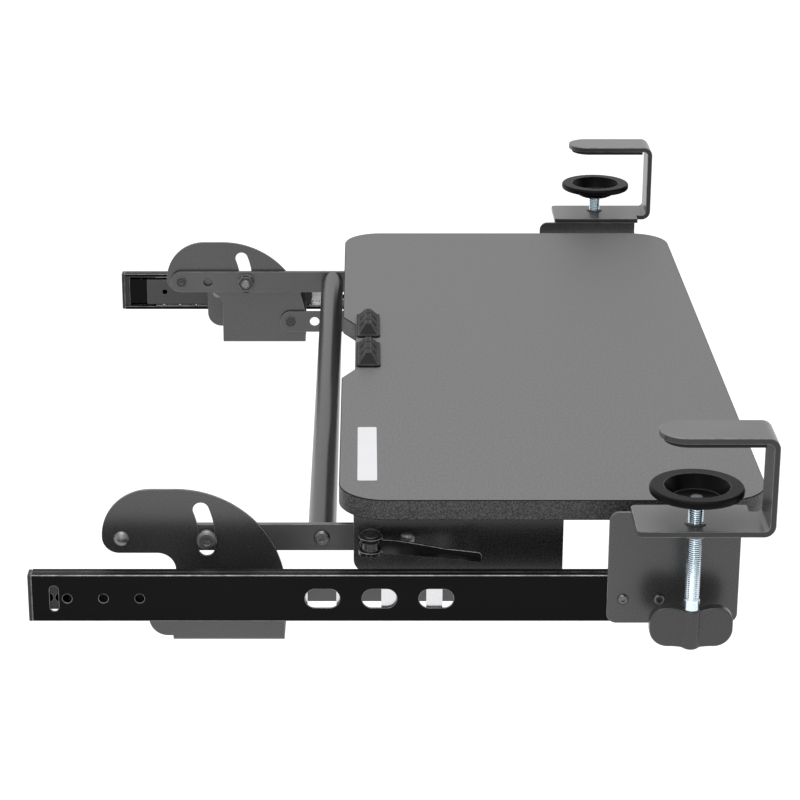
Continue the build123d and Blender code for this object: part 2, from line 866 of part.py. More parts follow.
with BuildPart() as lever_washers:
    disc(fin_outer + side_gap, lever_place, lever_washer_radius, lever_washer_wall)
    disc(
        fin_outer + side_gap,
        lever_place,
        lever_bolt_radius,
        lever_washer_wall,
        Mode.SUBTRACT,
    )
    mirror(about=Plane.YZ)
save(lever_washers.part, "lever_washers")

# Cam lever: a bowed blade with two cam cheeks, one above and one below the eye
blade_bottom = arm_pivot_height - blade_height / 2
blade_root = lever_place[0] + eye_radius + blade_root_gap
blade_tip = lever_place[0] + blade_length
root_face = cam_outward + blade_root_reach
tip_face = cam_outward + blade_tip_reach
cheek_low = eye_bottom - cam_gap - cam_wall
cheek_high = arm_pivot_height + eye_height / 2 + cam_gap
with BuildPart() as cam_lever:
    with BuildSketch(plan(blade_bottom)):
        with BuildLine():
            SagittaArc((root_face, blade_root), (tip_face, blade_tip), blade_bow)
            Line((tip_face, blade_tip), (tip_face - blade_wall, blade_tip))
            SagittaArc(
                (tip_face - blade_wall, blade_tip),
                (root_face - blade_wall, blade_root),
                -blade_bow,
            )
            Line((root_face - blade_wall, blade_root), (root_face, blade_root))
        make_face()
    extrude(amount=blade_height)
    with BuildSketch(side(cam_outward - cam_radius)):
        with BuildLine():
            Polyline(
                (blade_root, blade_bottom),
                (blade_tip, blade_bottom),
                (blade_tip, blade_bottom + blade_tip_height),
                (blade_root + blade_shoulder + blade_taper_length, blade_bottom + blade_tip_height),
                (blade_root + blade_shoulder, blade_bottom + blade_height),
                (blade_root, blade_bottom + blade_height),
                close=True,
            )
        make_face()
        fillet(vertices().group_by(Axis.X)[-1], blade_tip_round)
    extrude(amount=cam_radius + blade_tip_reach + overrun, mode=Mode.INTERSECT)
    for height in (cheek_low, cheek_high):
        upright(height, (cam_outward - cam_offset, lever_place[0]), cam_radius, cam_wall)
        upright(height, lever_upright, cam_pin_radius, cam_wall, Mode.SUBTRACT)
save_pair(cam_lever.part, "cam_lever")

with BuildPart() as cam_pin:
    cam_pin_bottom = cheek_low - cam_pin_head_height
    upright(cheek_low, lever_upright, cam_pin_radius, cheek_high + cam_wall - cheek_low)
    upright(cam_pin_bottom, lever_upright, cam_pin_head_radius, cam_pin_head_height)
    upright(cheek_high + cam_wall, lever_upright, cam_pin_head_radius, cam_pin_head_height)
save_pair(cam_pin.part, "cam_pin")

# Clamp bracket: one bent strap with a short upper jaw and a wider lower jaw
lower_jaw_inner = half_span - lower_jaw_overlap
lower_jaw_rear = strap_front - lower_jaw_length
upper_jaw_rear = strap_front - upper_jaw_length
upper_jaw_round = (strap_width - upper_jaw_tip_flat) / 2
screw_place = (screw_outward, screw_forward)
with BuildPart() as clamp_bracket:
    with BuildSketch(side(jaw_inner)):
        span((lower_jaw_rear, clamp_base_height), (strap_front, jaw_top))
        fillet(vertices().group_by(Axis.X)[-1], strap_bend)
    extrude(amount=strap_width)
    with BuildSketch(side(jaw_inner)):
        span((lower_jaw_rear, lower_jaw_top), (strap_front - strap_wall, jaw_pad_top))
        fillet(vertices().group_by(Axis.X)[-1], strap_bend - strap_wall)
        span((lower_jaw_rear, lower_jaw_top), (upper_jaw_rear, jaw_top))
    extrude(amount=strap_width, mode=Mode.SUBTRACT)
    fillet(
        edges().filter_by(Axis.Z).group_by(Axis.Z)[-1].group_by(Axis.Y)[-1],
        upper_jaw_round,
    )
    with BuildSketch(plan(clamp_base_height)):
        span(
            (lower_jaw_inner, lower_jaw_rear), (jaw_outer, strap_front - lower_jaw_step)
        )
    extrude(amount=strap_wall)
    fillet(
        edges().filter_by(Axis.Z).group_by(Axis.Y)[-1],
        lower_jaw_corner,
    )
    upright(
        clamp_base_height, screw_place, insert_neck_radius, strap_wall, Mode.SUBTRACT
    )
save_pair(clamp_bracket.part, "clamp_bracket")

with BuildPart() as clamp_insert:
    insert_bottom = clamp_base_height - insert_body_height
    insert_height = insert_body_height + strap_wall + insert_flange_wall
    upright(insert_bottom, screw_place, insert_body_radius, insert_body_height)
    upright(clamp_base_height, screw_place, insert_neck_radius, strap_wall)
    upright(lower_jaw_top, screw_place, insert_flange_radius, insert_flange_wall)
    upright(
        insert_bottom,
        screw_place,
        screw_radius + running_gap,
        insert_height,
        Mode.SUBTRACT,
    )
save_pair(clamp_insert.part, "clamp_insert")

with BuildPart() as jaw_pad:
    jaw_pad_rear = upper_jaw_rear + jaw_pad_tip_inset
    with BuildSketch(plan(jaw_pad_top - jaw_pad_wall)):
        span(
            (jaw_inner + jaw_pad_inset, jaw_pad_rear),
            (jaw_outer - jaw_pad_inset, strap_front - jaw_pad_heel_inset),
        )
        fillet(vertices().group_by(Axis.Y)[0], upper_jaw_round - jaw_pad_inset)
    extrude(amount=jaw_pad_wall)
save_pair(jaw_pad.part, "jaw_pad")

# Hanger plate, welded under the lower jaw and screwed to the rail
with BuildPart() as hanger_plate:
    with BuildSketch(side(half_span)):
        span((plate_rear, rail_lift), (plate_rear + plate_length, clamp_base_height))
        fillet(vertices().group_by(Axis.Y)[0], plate_corner)
        fillet(vertices().group_by(Axis.Y)[-1].sort_by(Axis.X)[0], plate_corner)
        with Locations(*plate_screw_places):
            Circle(plate_screw_radius, mode=Mode.SUBTRACT)
    extrude(amount=plate_wall)
save_pair(hanger_plate.part, "hanger_plate")

with BuildPart() as rail_screws:
    for place in plate_screw_places:
        shank_inner = rail_back - plate_screw_tail
        disc(shank_inner, place, plate_screw_radius, plate_outer - shank_inner)
        dome(plate_outer, place, plate_screw_head_radius, plate_screw_head_height)
        socket(
            plate_outer + plate_screw_head_height - plate_screw_socket_depth,
            place,
            plate_screw_socket_radius,
            plate_screw_socket_depth,
        )
save_pair(rail_screws.part, "rail_screws")

# Clamp pad: swivel dish with a raised rim, free on the screw's neck
pad_top = lower_jaw_top + pad_rise
pad_bottom = pad_top - pad_height
pad_recess_floor = pad_top - pad_recess_depth
pad_hole_radius = screw_neck_radius + running_gap
screw_centre = (-screw_outward, middle - screw_forward, 0)
with BuildPart() as clamp_pad:
    with BuildSketch(Plane(origin=screw_centre, x_dir=(-1, 0, 0), z_dir=(0, 1, 0))):
        with BuildLine():
            Line((pad_hole_radius, pad_bottom), (pad_foot_radius, pad_bottom))
            SagittaArc(
                (pad_foot_radius, pad_bottom),
                (pad_dome_radius, pad_top - pad_rim),
                -pad_dome_bow,
            )
            Polyline(
                (pad_dome_radius, pad_top - pad_rim),
                (pad_radius, pad_top - pad_rim),
                (pad_radius, pad_top),
                (pad_recess_radius, pad_top),
                (pad_recess_floor_radius, pad_recess_floor),
                (pad_hole_radius, pad_recess_floor),
                (pad_hole_radius, pad_bottom),
            )
        make_face()
        fillet(vertices().group_by(Axis.X)[-1], pad_rim_round)
    revolve(axis=Axis(screw_centre, (0, 0, 1)))
save_pair(clamp_pad.part, "clamp_pad")

# Clamp screw: bar with a collar at the knob and a riveted-over neck in the pad
knob_top = clamp_base_height - knob_drop
hub_top = knob_top - knob_dip
with BuildPart() as clamp_screw:
    screw_bottom = hub_top - screw_tail
    screw_shoulder = pad_bottom - end_gap
    neck_top = pad_recess_floor + end_gap
    upright(screw_bottom, screw_place, screw_radius, screw_shoulder - screw_bottom)
    upright(hub_top, screw_place, screw_collar_radius, screw_collar_height)
    upright(screw_shoulder, screw_place, screw_neck_radius, neck_top - screw_shoulder)
    upright(neck_top, screw_place, screw_head_radius, screw_head_height)
save_pair(clamp_screw.part, "clamp_screw")

# Wing knob: two lobed wings that thicken outwards, blended into a round hub
knob_half = knob_width / 2
knob_bottom = knob_top - knob_height
wing_bottom = knob_bottom + knob_hub_drop
hub_flat = screw_collar_radius + end_gap
wing_flat = hub_flat + knob_dip_reach
with BuildPart() as wing_knob:
    knob_centre = (-screw_outward, middle - screw_forward, 0)
    with BuildSketch(Plane(origin=knob_centre, x_dir=(0, -1, 0), z_dir=(-1, 0, 0))):
        with BuildLine():
            Line((0, hub_top), (hub_flat, hub_top))
            Spline(
                (hub_flat, hub_top),
                (wing_flat, knob_top),
                tangents=((1, 0), (1, 0)),
            )
            Polyline(
                (wing_flat, knob_top),
                (knob_half, knob_top),
                (knob_half, wing_bottom),
                (wing_flat, wing_bottom),
            )
            Spline(
                (wing_flat, wing_bottom),
                (0, knob_bottom),
                tangents=((-1, 0), (-1, 0)),
            )
            Line((0, knob_bottom), (0, hub_top))
        make_face()
        fillet(vertices().group_by(Axis.X)[-1].sort_by(Axis.Y)[-1], knob_top_corner)
        fillet(vertices().group_by(Axis.X)[-1].sort_by(Axis.Y)[0], knob_bottom_corner)
        mirror(about=Plane.YZ)
    extrude(amount=knob_hub_radius, both=True)
    with BuildSketch(Plane(origin=(*knob_centre[:2], knob_bottom))) as knob_plan:
        with BuildLine():
            Polyline(
                (-knob_waist / 2, 0),
                (-knob_wall / 2, knob_half),
                (knob_wall / 2, knob_half),
                (knob_waist / 2, 0),
                close=True,
            )
        make_face()
        mirror(about=Plane.XZ)
        Circle(knob_hub_radius)
    extrude(knob_plan.sketch, amount=knob_height, mode=Mode.INTERSECT)
    hub_joints = edges().filter_by(Axis.Z)
    fillet(hub_joints.filter_by(lambda edge: edge.length > knob_height / 2), knob_blend)
    wing_edges = edges().filter_by(
        lambda edge: abs(edge.center().Y - knob_centre[1]) > wing_flat
    )
    fillet(
        wing_edges.filter_by(
            lambda edge: abs(edge.center().X - knob_centre[0]) > knob_waist / 2
        ),
        knob_edge_round,
    )
    upright(hub_top - screw_tail, screw_place, screw_radius, screw_tail, Mode.SUBTRACT)
save_pair(wing_knob.part, "wing_knob")
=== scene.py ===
import bpy
import bmesh
import json
from math import cos, pi, radians, sin
from mathutils import Matrix, Vector


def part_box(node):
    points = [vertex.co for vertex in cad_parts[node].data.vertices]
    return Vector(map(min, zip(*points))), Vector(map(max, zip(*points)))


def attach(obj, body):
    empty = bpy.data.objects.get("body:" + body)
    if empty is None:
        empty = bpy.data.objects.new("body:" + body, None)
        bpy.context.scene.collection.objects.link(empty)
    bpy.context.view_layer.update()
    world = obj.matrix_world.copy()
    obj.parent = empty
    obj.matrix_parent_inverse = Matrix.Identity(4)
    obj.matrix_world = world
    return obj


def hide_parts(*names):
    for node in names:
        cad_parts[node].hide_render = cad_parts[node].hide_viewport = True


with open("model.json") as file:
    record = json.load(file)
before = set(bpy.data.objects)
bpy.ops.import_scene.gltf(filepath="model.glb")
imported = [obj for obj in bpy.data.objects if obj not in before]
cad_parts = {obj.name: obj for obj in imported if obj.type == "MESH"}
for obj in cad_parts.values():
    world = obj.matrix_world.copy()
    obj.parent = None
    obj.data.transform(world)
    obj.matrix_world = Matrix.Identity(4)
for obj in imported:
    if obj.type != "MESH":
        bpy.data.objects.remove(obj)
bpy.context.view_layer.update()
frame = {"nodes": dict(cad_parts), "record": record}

# Keyboard tray on desk clamps. Metres; X runs across the tray, the user sits at -Y, +Z is up.
mm = 0.001
SIDES = {"left": -1, "right": 1}
nodes = frame["nodes"]

# Most of a noise's values lie between these two
NOISE_LOW = 0.3
NOISE_HIGH = 0.7

# Paint, steel and plastic are grey with a trace of blue
COOL_TINT = (1.0, 1.0, 1.02)


# Finishes

def shader(name, colour, roughness, metallic=0.0, specular=0.5):
    """A new material with one Principled surface: the material, its tree and the surface."""
    finish = bpy.data.materials.new(name)
    finish.use_nodes = True
    tree = finish.node_tree
    surface = tree.nodes["Principled BSDF"]
    surface.inputs["Base Color"].default_value = (*colour, 1)
    surface.inputs["Roughness"].default_value = roughness
    surface.inputs["Metallic"].default_value = metallic
    surface.inputs["Specular IOR Level"].default_value = specular
    return finish, tree, surface


def grain(tree, scale, detail=3.0, roughness=0.5, stretch=(1, 1, 1)):
    """Noise on the piece's own coordinates; scale counts grains in a metre."""
    place = tree.nodes.new("ShaderNodeTexCoord")
    spread = tree.nodes.new("ShaderNodeMapping")
    spread.inputs["Scale"].default_value = stretch
    noise = tree.nodes.new("ShaderNodeTexNoise")
    noise.inputs["Scale"].default_value = scale
    noise.inputs["Detail"].default_value = detail
    noise.inputs["Roughness"].default_value = roughness
    tree.links.new(place.outputs["Object"], spread.inputs["Vector"])
    tree.links.new(spread.outputs["Vector"], noise.inputs["Vector"])
    return noise.outputs["Fac"]


def blend_tones(tree, surface, source, dark, light, low=0.35, high=0.65):
    """Base colour from dark to light as the source goes from low to high."""
    ramp = tree.nodes.new("ShaderNodeValToRGB")
    first, last = ramp.color_ramp.elements
    first.position, first.color = low, (*dark, 1)
    last.position, last.color = high, (*light, 1)
    tree.links.new(source, ramp.inputs["Fac"])
    tree.links.new(ramp.outputs["Color"], surface.inputs["Base Color"])


def vary_gloss(tree, surface, source, low, high):
    """Roughness from low to high with the source."""
    spread = tree.nodes.new("ShaderNodeMapRange")
    spread.inputs["From Min"].default_value = NOISE_LOW
    spread.inputs["From Max"].default_value = NOISE_HIGH
    spread.inputs["To Min"].default_value = low
    spread.inputs["To Max"].default_value = high
    tree.links.new(source, spread.inputs["Value"])
    tree.links.new(spread.outputs["Result"], surface.inputs["Roughness"])


def relief(tree, surface, source, depth):
    """Bump at full strength, so that its depth is a real one in metres."""
    bump = tree.nodes.new("ShaderNodeBump")
    bump.inputs["Strength"].default_value = 1.0
    bump.inputs["Distance"].default_value = depth
    tree.links.new(source, bump.inputs["Height"])
    tree.links.new(bump.outputs["Normal"], surface.inputs["Normal"])


def grey(level):
    return tuple(level * part for part in COOL_TINT)


def powder_coat(name, level, roughness, specular=0.5):
    """Satin baked powder paint: fine orange peel and a slight drift of tone."""
    finish, tree, surface = shader(name, grey(level), roughness, specular=specular)
    drift = grain(tree, scale=14.0, detail=2.0)
    blend_tones(tree, surface, drift, dark=grey(level * 0.88), light=grey(level * 1.12))
    peel = grain(tree, scale=1500.0, detail=2.0)
    vary_gloss(tree, surface, peel, roughness - 0.03, roughness + 0.03)
    relief(tree, surface, peel, depth=0.004 * mm)
    return finish


def gloss_paint(name, level, roughness, specular):
    """Smooth black electro-coat on sheet: streaks along the way it was rolled."""
    finish, tree, surface = shader(name, grey(level), roughness, specular=specular)
    streaks = grain(tree, scale=22.0, stretch=(1, 0.15, 1))
    vary_gloss(tree, surface, streaks, roughness * 0.8, roughness * 1.25)
    blend_tones(tree, surface, streaks, dark=grey(level * 0.8), light=grey(level * 1.25))
    relief(tree, surface, grain(tree, scale=700.0, detail=2.0), depth=0.006 * mm)
    return finish


def plated_steel(name, dark, light, roughness):
    """Bare, plated or blackened steel with faint drawing marks."""
    finish, tree, surface = shader(name, light, roughness, metallic=1.0)
    marks = grain(tree, scale=900.0)
    blend_tones(tree, surface, marks, dark, light)
    vary_gloss(tree, surface, marks, roughness * 0.75, roughness * 1.3)
    relief(tree, surface, marks, depth=0.01 * mm)
    return finish


def moulded(name, level, roughness, specular=0.4, texture=1100.0, depth=0.02 * mm):
    """Moulded plastic or rubber with a fine spark-eroded texture."""
    finish, tree, surface = shader(name, grey(level), roughness, specular=specular)
    spark = grain(tree, scale=texture)
    blend_tones(tree, surface, spark, dark=grey(level * 0.85), light=grey(level * 1.15))
    vary_gloss(tree, surface, spark, roughness - 0.06, roughness + 0.06)
    relief(tree, surface, spark, depth)
    return finish


def painted_highlight_edge(name, paint, highlight_level, roughness=0.3, specular=0.6):
    """A lighter finish for broken edges, in patches along the edge: a painted highlight."""
    finish, tree, surface = shader(name, grey(paint), roughness, specular=specular)
    patches = grain(tree, scale=120.0, detail=5.0, roughness=0.6)
    blend_tones(tree, surface, patches, grey(paint), grey(highlight_level), low=0.38, high=0.66)
    vary_gloss(tree, surface, patches, roughness + 0.08, roughness - 0.08)
    return finish


def laminate_face(name):
    """Matt grey board laminate: a very fine pressed pore texture."""
    finish, tree, surface = shader(name, grey(0.16), roughness=0.5, specular=0.4)
    pores = grain(tree, scale=600.0, detail=4.0, roughness=0.62, stretch=(0.35, 1, 1))
    blend_tones(tree, surface, pores, dark=grey(0.125), light=grey(0.17))
    vary_gloss(tree, surface, pores, 0.46, 0.58)
    relief(tree, surface, pores, depth=0.02 * mm)
    return finish


def edge_band(name):
    """Dark edge band with a fine, faint fleck."""
    finish, tree, surface = shader(name, grey(0.05), roughness=0.5, specular=0.4)
    flecks = grain(tree, scale=950.0)
    blend_tones(tree, surface, flecks, grey(0.012), grey(0.1), low=0.42, high=0.62)
    relief(tree, surface, flecks, depth=0.02 * mm)
    return finish


def plain_film(name, level):
    """Smooth white film: almost even in tone, with a slow change in its gloss."""
    finish, tree, surface = shader(name, grey(level), roughness=0.4, specular=0.4)
    drift = grain(tree, scale=30.0, detail=2.0)
    blend_tones(tree, surface, drift, dark=grey(level * 0.98), light=grey(level * 1.02))
    vary_gloss(tree, surface, drift, 0.36, 0.44)
    return finish


STRAP_PAINT = powder_coat("strap_powder_coat", level=0.105, roughness=0.3, specular=0.55)
# The edge finishes below are lighter than their faces: painted highlights on broken edges
STRAP_EDGE = painted_highlight_edge("strap_edge", paint=0.12, highlight_level=0.26)
# A darker copy of the strap's paint for its sides: painted shade
STRAP_SIDE_SHADE = powder_coat("strap_side_painted_shade", level=0.02, roughness=0.34)
HANGER_PAINT = powder_coat("hanger_powder_coat", level=0.045, roughness=0.28, specular=0.7)
PLATE_PAINT = powder_coat("plate_powder_coat", level=0.036, roughness=0.26, specular=0.9)
PLATE_EDGE = painted_highlight_edge("plate_edge", paint=0.12, highlight_level=0.28)
ARM_PAINT = powder_coat("arm_powder_coat", level=0.066, roughness=0.32, specular=0.75)
ARM_EDGE = painted_highlight_edge("arm_edge", paint=0.1, highlight_level=0.28)
TRAY_PLATE_PAINT = powder_coat(
    "tray_plate_powder_coat", level=0.014, roughness=0.28, specular=0.8
)
TUBE_PAINT = powder_coat("tube_powder_coat", level=0.012, roughness=0.3, specular=0.55)
RAIL_PAINT = gloss_paint("rail_black", level=0.005, roughness=0.3, specular=0.06)
RAIL_EDGE = painted_highlight_edge("rail_edge", paint=0.14, highlight_level=0.36)
# A lighter finish for the beads over the ball races: a painted highlight line
RACE_HIGHLIGHT = painted_highlight_edge("race_line", paint=0.02, highlight_level=0.14)
SLIDE_STEEL = powder_coat("inner_rail_satin", level=0.045, roughness=0.36)
LEVER_PAINT = gloss_paint("lever_black", level=0.006, roughness=0.16, specular=0.4)
LEVER_EDGE = painted_highlight_edge("lever_edge", paint=0.16, highlight_level=0.5)
BLACK_STEEL = plated_steel("blackened_steel", grey(0.11), grey(0.16), roughness=0.34)
STEEL_EDGE = painted_highlight_edge("blackened_steel_edge", paint=0.14, highlight_level=0.4)
NUT_STEEL = plated_steel("dark_nut_steel", grey(0.035), grey(0.06), roughness=0.3)
BOLT_STEEL = plated_steel("satin_bolt_steel", grey(0.16), grey(0.22), roughness=0.42)
PIVOT_STEEL = plated_steel("satin_pivot_steel", grey(0.16), grey(0.24), roughness=0.38)
ZINC = plated_steel("bright_zinc", (0.62, 0.71, 0.77), (0.76, 0.86, 0.92), roughness=0.18)
CAGE_STEEL = plated_steel("cage_sheet", grey(0.6), grey(0.68), roughness=0.3)
BALL_STEEL = plated_steel("ball_steel", grey(0.66), grey(0.8), roughness=0.08)
LAMINATE = laminate_face("board_laminate")
EDGE_BAND = edge_band("board_edge_band")
# Near black for the board's chamfer: a painted shade line
BAND_SHADE_LINE = moulded("band_painted_shade_line", level=0.004, roughness=0.6, specular=0.1)
PAD_RUBBER = moulded("jaw_rubber", level=0.012, roughness=0.7, specular=0.3)
DISH_PLASTIC = moulded(
    "dish_plastic", level=0.002, roughness=0.38, specular=0.08, texture=700.0, depth=0.01 * mm
)
DISH_EDGE = painted_highlight_edge("dish_rim", paint=0.012, highlight_level=0.04, roughness=0.4, specular=0.3)
KNOB_PLASTIC = moulded(
    "knob_plastic", level=0.04, roughness=0.3, specular=0.55, texture=1400.0, depth=0.002 * mm
)
CLIP_PLASTIC = moulded("clip_plastic", level=0.006, roughness=0.5, specular=0.16)
CLIP_EDGE = painted_highlight_edge("clip_edge", paint=0.02, highlight_level=0.06, roughness=0.5, specular=0.3)
BUMPER_PLASTIC = moulded("bumper_plastic", level=0.016, roughness=0.5)
BUMPER_EDGE = painted_highlight_edge("bumper_edge", paint=0.1, highlight_level=0.26, roughness=0.4)
LABEL_FILM = plain_film("blank_label_film", level=0.82)

# The finish of each kind of node
FINISHES = {
    "clamp_bracket": STRAP_PAINT,
    "jaw_pad": PAD_RUBBER,
    "hanger_plate": HANGER_PAINT,
    "outer_rail": RAIL_PAINT,
    "rail_screws": BLACK_STEEL,
    "rail_bumper": BUMPER_PLASTIC,
    "clamp_insert": BLACK_STEEL,
    "ball_cage": CAGE_STEEL,
    "bearing_balls": BALL_STEEL,
    "inner_rail": SLIDE_STEEL,
    "slide_bracket": PLATE_PAINT,
    "slide_rivets": PIVOT_STEEL,
    "arm_pivot": PIVOT_STEEL,
    "link_pivot": PIVOT_STEEL,
    "lift_arm": ARM_PAINT,
    "height_bolt": BOLT_STEEL,
    "height_nut": NUT_STEEL,
    "lower_link": ARM_PAINT,
    "tray_bracket": TRAY_PLATE_PAINT,
    "tray_pivots": PIVOT_STEEL,
    "bracket_screws": BLACK_STEEL,
    "lever_bolt": BLACK_STEEL,
    "lever_washers": BLACK_STEEL,
    "cam_lever": LEVER_PAINT,
    "cam_pin": BLACK_STEEL,
    "clamp_pad": DISH_PLASTIC,
    "clamp_screw": ZINC,
    "wing_knob": KNOB_PLASTIC,
    "cross_tube": TUBE_PAINT,
    "tube_plugs": BLACK_STEEL,
    "tube_screws": BLACK_STEEL,
    "tray_board": LAMINATE,
    "cable_clips": CLIP_PLASTIC,
}

# Kinds whose sharp edges are broken: the edge's finish, mostly a lighter painted highlight,
# and its width in millimetres
EDGE_BREAKS = {
    "clamp_bracket": (STRAP_EDGE, 0.5),
    "jaw_pad": (PAD_RUBBER, 0.5),
    "hanger_plate": (STRAP_EDGE, 0.35),
    "outer_rail": (RAIL_EDGE, 0.36),
    "rail_bumper": (BUMPER_EDGE, 0.4),
    "clamp_insert": (STEEL_EDGE, 0.2),
    "ball_cage": (CAGE_STEEL, 0.1),
    "inner_rail": (ARM_EDGE, 0.15),
    "slide_bracket": (PLATE_EDGE, 0.3),
    "arm_pivot": (STEEL_EDGE, 0.2),
    "link_pivot": (STEEL_EDGE, 0.2),
    "lift_arm": (ARM_EDGE, 0.35),
    "height_nut": (STEEL_EDGE, 0.35),
    "lower_link": (ARM_EDGE, 0.3),
    "tray_bracket": (RAIL_EDGE, 0.3),
    "tray_pivots": (STEEL_EDGE, 0.2),
    "lever_bolt": (STEEL_EDGE, 0.25),
    "lever_washers": (STEEL_EDGE, 0.2),
    "cam_lever": (LEVER_EDGE, 0.3),
    "cam_pin": (STEEL_EDGE, 0.2),
    "clamp_pad": (DISH_EDGE, 0.4),
    "cable_clips": (CLIP_EDGE, 0.3),
}

# Kinds with a third finish, for the faces that slot_for gives it to
THIRD_FINISHES = {
    # The strap's third finish is painted shade on its sides
    "clamp_bracket": STRAP_SIDE_SHADE,
    "arm_pivot": NUT_STEEL,
    "link_pivot": NUT_STEEL,
    "tray_pivots": NUT_STEEL,
}

# Material slots of a finished piece
FACE, EDGE, THIRD = 0, 1, 2

# Parts of a face's normal that slot_for and the board go by
ALONG_LIMIT = 0.1
BEND_LEAN_LOW = 0.55
BEND_LEAN_HIGH = 0.9
STRAP_SIDE = 0.5
BOARD_FACE = 0.9
BOARD_CHAMFER = 0.1


def kind_of(node):
    """A node's name without its side."""
    side, kind = node.split("_", 1)
    return kind if side in SIDES else node


record = frame["record"]
body_of_node = {
    node: body for body, group in record["behaviour"]["bodies"].items() for node in group
}

for name, piece in nodes.items():
    finish = FINISHES[kind_of(name)]
    if not piece.material_slots:
        piece.data.materials.append(finish)
    for spot in piece.material_slots:
        spot.material = finish


# Meshes and pieces

MERGE_GAP = 0.0005 * mm
FLAT_ANGLE = radians(0.4)
BREAK_ANGLE = radians(40)
BREAK_STEPS = 2
FULL_WEIGHT = 100


def in_scene(name, data):
    """A new object for a mesh, a light or a camera."""
    item = bpy.data.objects.new(name, data)
    bpy.context.scene.collection.objects.link(item)
    return item


def stand_in(name, mesh, node):
    """Puts a finished mesh in a CAD node's place, on the node's body."""
    piece = in_scene(name, mesh)
    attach(piece, body_of_node[node])
    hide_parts(node)
    return piece


def trim_on(piece, node):
    """Lets an extra piece move with a CAD node."""
    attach(piece, body_of_node[node])


def mesh_of(shape, name):
    """A mesh of a shape that is finished with."""
    mesh = bpy.data.meshes.new(name)
    shape.to_mesh(mesh)
    shape.free()
    return mesh


def plain_copy(node):
    """A node's shape with its loose triangles merged and its flat faces made whole."""
    shape = bmesh.new()
    shape.from_mesh(nodes[node].data)
    bmesh.ops.remove_doubles(shape, verts=shape.verts, dist=MERGE_GAP)
    bmesh.ops.dissolve_limit(
        shape, angle_limit=FLAT_ANGLE, verts=shape.verts, edges=shape.edges
    )
    return shape


def draft_of(mesh, name):
    return in_scene(name + "_draft", mesh)


def as_mesh(draft, name):
    """The draft object with its modifiers applied, as a plain mesh."""
    final = bpy.data.meshes.new_from_object(
        draft.evaluated_get(bpy.context.evaluated_depsgraph_get())
    )
    final.name = name
    bpy.data.objects.remove(draft)
    return final


def even_flats(mesh, name, sharp=50):
    """Shades flat faces flat and lets only the narrow bends and edges turn."""
    mesh.shade_smooth()
    mesh.set_sharp_from_angle(angle=radians(sharp))
    draft = draft_of(mesh, name)
    weigh = draft.modifiers.new("flat_faces", "WEIGHTED_NORMAL")
    weigh.weight = FULL_WEIGHT
    weigh.keep_sharp = True
    return as_mesh(draft, name)


def finished(node, materials, width=0.0):
    """A copy of a CAD node in its place; a width breaks its sharp edges in their finish."""
    mesh = mesh_of(plain_copy(node), node + "_draft")
    for material in materials:
        mesh.materials.append(material)
    if width:
        draft = draft_of(mesh, node)
        bevel = draft.modifiers.new("edge_break", "BEVEL")
        bevel.width = width
        bevel.segments = BREAK_STEPS
        bevel.limit_method = "ANGLE"
        bevel.angle_limit = BREAK_ANGLE
        bevel.use_clamp_overlap = False
        bevel.material = EDGE
        mesh = as_mesh(draft, node + "_broken")
    return stand_in(node + "_finished", even_flats(mesh, node + "_finished"), node)


def slot_for(kind, face):
    """The material slot of one face: its own, unless its kind has a rule for it."""
    normal, slot = face.normal, face.material_index
    bend_lean = abs(normal.z) if abs(normal.y) < ALONG_LIMIT else 0
    if kind == "outer_rail" and BEND_LEAN_LOW < bend_lean < BEND_LEAN_HIGH:
        return EDGE  # the rail's bends get the lighter edge finish: a painted highlight line
    if kind == "cam_lever" and slot == EDGE and normal.z < 0:
        return FACE  # only the lever's upper edges get the painted highlight
    if kind == "clamp_bracket" and slot == FACE and abs(normal.x) > STRAP_SIDE:
        return THIRD  # the strap's sides across X get a darker copy of its paint: painted shade
    if "pivot" in kind and slot == FACE and normal.x * face.center.x < 0:
        return THIRD  # a pivot's inner end is darker
    return slot


# Sheet and moulded edges are broken, so that they catch a line of light; most also get a
# lighter finish there as a painted highlight
for node in nodes:
    kind = kind_of(node)
    if kind not in EDGE_BREAKS:
        continue
    edge_finish, width = EDGE_BREAKS[kind]
    materials = [FINISHES[kind], edge_finish]
    if kind in THIRD_FINISHES:
        materials.append(THIRD_FINISHES[kind])
    for face in finished(node, materials, width * mm).data.polygons:
        face.material_index = slot_for(kind, face)

# The board's faces are laminate and its edge is a dark band; the chamfer between them is
# painted near black as a painted shade line
for face in finished("tray_board", [LAMINATE, EDGE_BAND, BAND_SHADE_LINE]).data.polygons:
    upright = abs(face.normal.z)
    if upright > BOARD_FACE:
        face.material_index = FACE
    elif upright > BOARD_CHAMFER:
        face.material_index = THIRD
    else:
        face.material_index = EDGE


# Pieces that repeat or follow a spiral

SPIRAL_STEPS = 24
RIDGE_SIDES = 4


def new_tree(name, sizes):
    """A Geometry Nodes tree: a geometry in, one named input for each size, and a material."""
    tree = bpy.data.node_groups.new(name, "GeometryNodeTree")
    sockets = [("Geometry", "Geometry"), *sizes.items(), ("Finish", "Material")]
    for socket, kind in sockets:
        tree.interface.new_socket(socket, in_out="INPUT", socket_type="NodeSocket" + kind)
    tree.interface.new_socket("Geometry", in_out="OUTPUT", socket_type="NodeSocketGeometry")
    return tree, tree.nodes.new("NodeGroupInput"), tree.nodes.new("NodeGroupOutput")


def end_tree(tree, given, result, last):
    """Realize Instances, then Set Material."""
    real = tree.nodes.new("GeometryNodeRealizeInstances")
    painted = tree.nodes.new("GeometryNodeSetMaterial")
    tree.links.new(last, real.inputs["Geometry"])
    tree.links.new(real.outputs["Geometry"], painted.inputs["Geometry"])
    tree.links.new(given.outputs["Finish"], painted.inputs["Material"])
    tree.links.new(painted.outputs["Geometry"], result.inputs["Geometry"])


def worked_out(tree, operation, first, second):
    """The result of one sum, such as DIVIDE, of two sockets."""
    node = tree.nodes.new("ShaderNodeMath")
    node.operation = operation
    tree.links.new(first, node.inputs[0])
    tree.links.new(second, node.inputs[1])
    return node.outputs[0]


